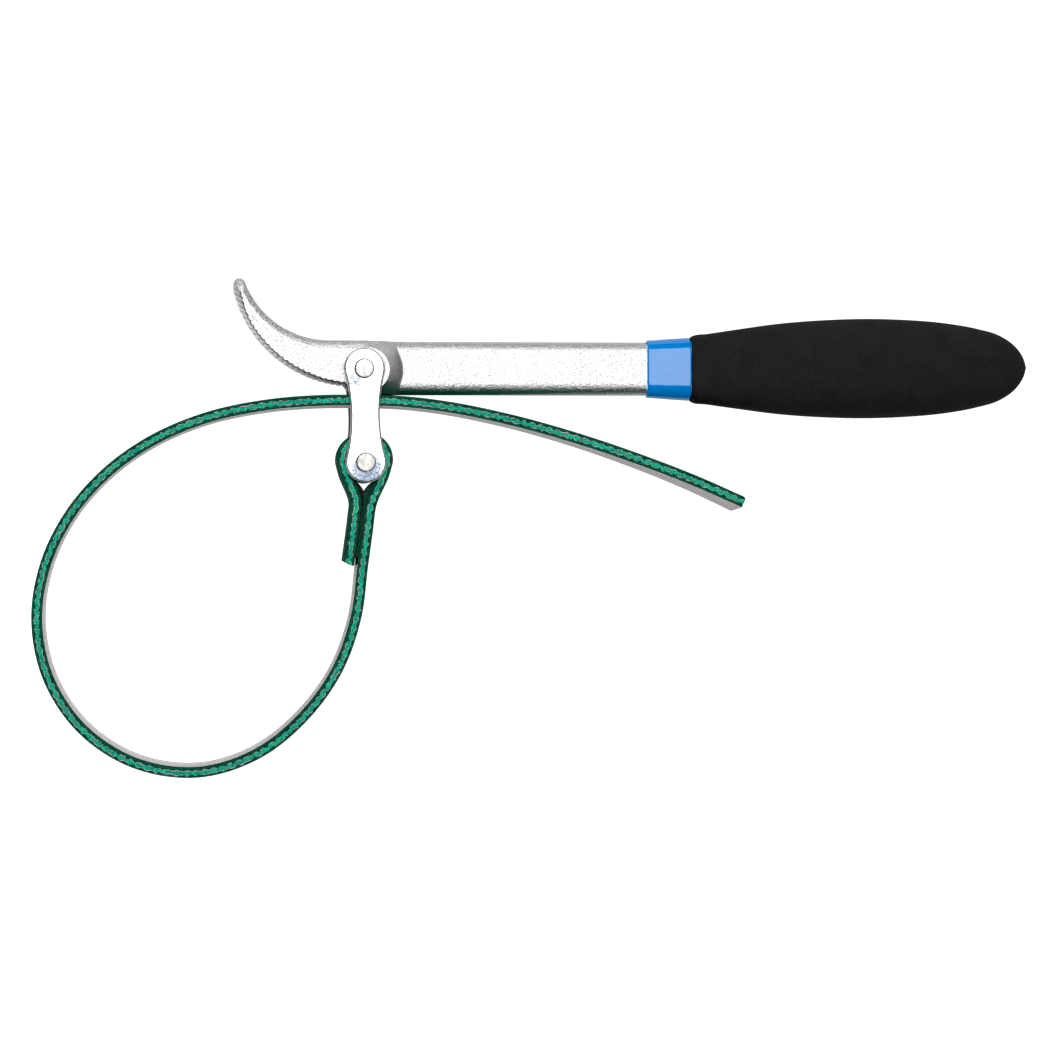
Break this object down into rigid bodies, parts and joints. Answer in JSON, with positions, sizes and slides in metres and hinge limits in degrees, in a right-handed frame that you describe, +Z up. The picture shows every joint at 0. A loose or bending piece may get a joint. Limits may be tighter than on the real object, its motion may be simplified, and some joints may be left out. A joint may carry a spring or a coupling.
{
  "type": "oil filter strap wrench",
  "caption": "Strap wrench for oil filters: toothed steel lever with two riveted link plates, a laminated belt loop with a free tail, and a soft handle.",
  "frame": {"origin": "on the pivot rivet's axis, on its flush lower end, which is level with the rear link plate and the grip's belly, at the surface the tool lies on", "axes": "+X along the handle from the pivot to the grip's end, +Y away from the belt's loop, +Z up, along both rivets"},
  "size_m": [0.3755, 0.1858, 0.031],
  "materials": {
    "satin_chrome": "satin chrome over a fine cast texture",
    "zinc_plate": "bright zinc with a bluish passivation",
    "rivet_steel": "bare steel, lightly marked",
    "spacer_steel": "drawn tube",
    "blue_plastic": "smooth gloss",
    "black_rubber": "soft moulded rubber with a fine matte grain",
    "green_cover": "matte rubber",
    "teal_core": "smooth polyamide",
    "black_adhesive": "matte"
  },
  "bodies": {
    "handle": {"lever": "satin_chrome", "handle_sleeve": "blue_plastic", "grip": "black_rubber"},
    "links": {"rear_link_plate": "zinc_plate", "front_link_plate": "zinc_plate", "pivot_rivet": "rivet_steel", "belt_rivet": "rivet_steel", "spacer_tube": "spacer_steel"},
    "belt": {"belt_outer_cover": "green_cover", "belt_core": "teal_core", "belt_inner_cover": "green_cover", "splice_bond": "black_adhesive"}
  },
  "joints": [
    {"name": "link_swing", "type": "hinge", "parent": "handle", "child": "links", "pos_m": [0, 0, 0], "axis": [0, 0, 1], "range_deg": [-17, 0]},
    {"name": "belt_swivel", "type": "hinge", "parent": "links", "child": "belt", "pos_m": [0.00055, -0.035, 0], "axis": [0, 0, 1], "range_deg": [-4, 2]}
  ]
}
